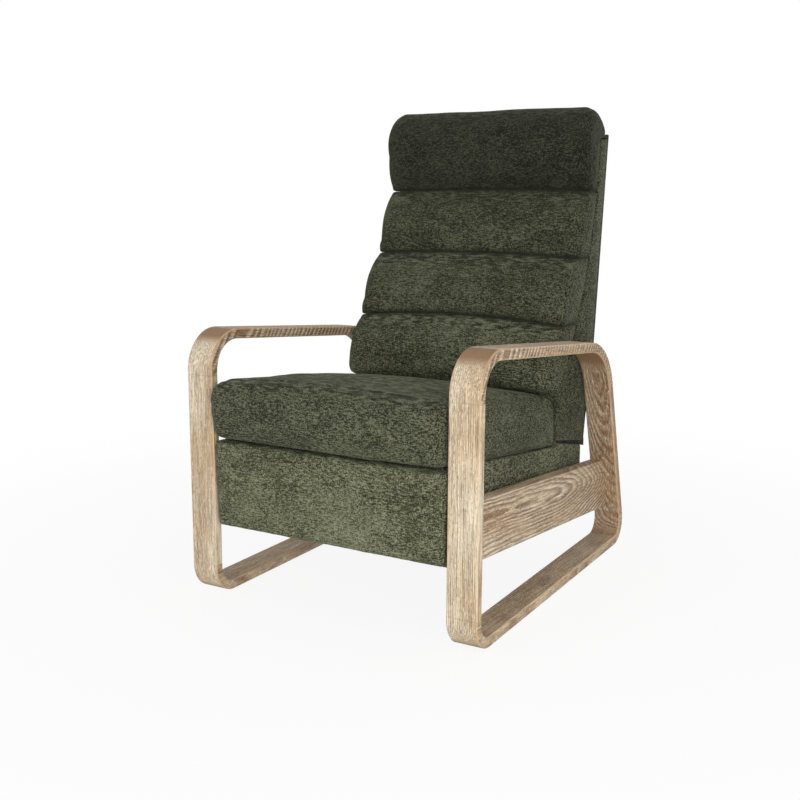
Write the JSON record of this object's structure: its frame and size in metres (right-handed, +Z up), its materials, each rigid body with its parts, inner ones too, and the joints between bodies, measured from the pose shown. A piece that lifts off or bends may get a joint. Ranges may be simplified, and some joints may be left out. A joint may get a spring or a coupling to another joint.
{
  "type": "push-back reclining armchair",
  "caption": "Push-back recliner with looped washed-oak side frames, a channelled olive chenille back, a padded seat and a folding footrest.",
  "frame": {"origin": "on the floor, in the middle of the chair's outline seen from above", "axes": "+X to the sitter's left, -Y the way the sitter faces, +Z up"},
  "size_m": [0.712, 0.8812, 1.088],
  "materials": {
    "washed_oak": "washed open-grain oak, matt",
    "frame_wood": "plain planed hardwood",
    "chenille": "olive-green chenille",
    "foam": "polyurethane foam",
    "webbing": "black elastic webbing",
    "mechanism_steel": "black painted steel",
    "glide_plastic": "black plastic"
  },
  "bodies": {
    "frame": {"front_post_left": "washed_oak", "front_post_right": "washed_oak", "arm_left": "washed_oak", "arm_right": "washed_oak", "rear_post_left": "washed_oak", "rear_post_right": "washed_oak", "floor_rail_left": "washed_oak", "floor_rail_right": "washed_oak", "side_rail_left": "washed_oak", "side_rail_right": "washed_oak", "base_plate_left": "mechanism_steel", "base_plate_right": "mechanism_steel", "loose_tenons": "frame_wood", "glides": "glide_plastic", "front_cross_rail": "frame_wood", "rear_cross_rail": "frame_wood", "corner_angles": "mechanism_steel"},
    "seat": {"seat_side_board_left": "chenille", "seat_side_board_right": "chenille", "seat_plate_left": "mechanism_steel", "seat_plate_right": "mechanism_steel", "guide_plate_left": "mechanism_steel", "guide_plate_right": "mechanism_steel", "seat_front_rail": "frame_wood", "seat_rear_rail": "frame_wood", "seat_front_deck": "frame_wood", "seat_straps": "webbing", "seat_cushion": "chenille", "seat_hinge_plates": "mechanism_steel"},
    "crank": {"crank_link_left": "mechanism_steel", "crank_link_right": "mechanism_steel"},
    "lift": {"lift_link_left": "mechanism_steel", "lift_link_right": "mechanism_steel", "torsion_tube": "mechanism_steel"},
    "tie": {"tie_link_left": "mechanism_steel", "tie_link_right": "mechanism_steel"},
    "footrest": {"footrest_bracket_left": "mechanism_steel", "footrest_bracket_right": "mechanism_steel", "footrest_board": "frame_wood", "footrest_pad": "chenille"},
    "back": {"back_upright_left": "frame_wood", "back_upright_right": "frame_wood", "back_side_panel_left": "chenille", "back_side_panel_right": "chenille", "back_lower_rail": "frame_wood", "back_middle_rail": "frame_wood", "back_upper_rail": "frame_wood", "back_core": "foam", "outer_back_panel": "chenille", "head_roll": "chenille", "upper_channel": "chenille", "middle_channel": "chenille", "lumbar_channel": "chenille", "back_hinge_plates": "mechanism_steel"}
  },
  "joints": [
    {"name": "seat_glide", "type": "slide", "parent": "frame", "child": "seat", "axis": [0, -0.995, 0.0995], "range_m": [0, 0.05]},
    {"name": "back_recline", "type": "hinge", "parent": "seat", "child": "back", "pos_m": [0, 0.289, 0.2795], "axis": [-1, 0, 0], "range_deg": [0, 28]},
    {"name": "crank_swing", "type": "hinge", "parent": "seat", "child": "crank", "pos_m": [0, -0.346, 0.292], "axis": [-1, 0, 0], "range_deg": [0, 96]},
    {"name": "lift_swing", "type": "hinge", "parent": "crank", "child": "lift", "pos_m": [0, -0.32581, 0.21666], "axis": [-1, 0, 0], "range_deg": [-144, 0]},
    {"name": "tie_swing", "type": "hinge", "parent": "crank", "child": "tie", "pos_m": [0, -0.32927, 0.15075], "axis": [-1, 0, 0], "range_deg": [-144, 0]},
    {"name": "footrest_unfold", "type": "hinge", "parent": "lift", "child": "footrest", "pos_m": [0, -0.35739, 0.3345], "axis": [-1, 0, 0], "range_deg": [0, 144]}
  ],
  "couplings": [
    {"joint": "crank_swing", "follows": "seat_glide", "rad_per_m": 33.51},
    {"joint": "lift_swing", "follows": "seat_glide", "rad_per_m": -50.265},
    {"joint": "tie_swing", "follows": "seat_glide", "rad_per_m": -50.265},
    {"joint": "footrest_unfold", "follows": "seat_glide", "rad_per_m": 50.265}
  ]
}
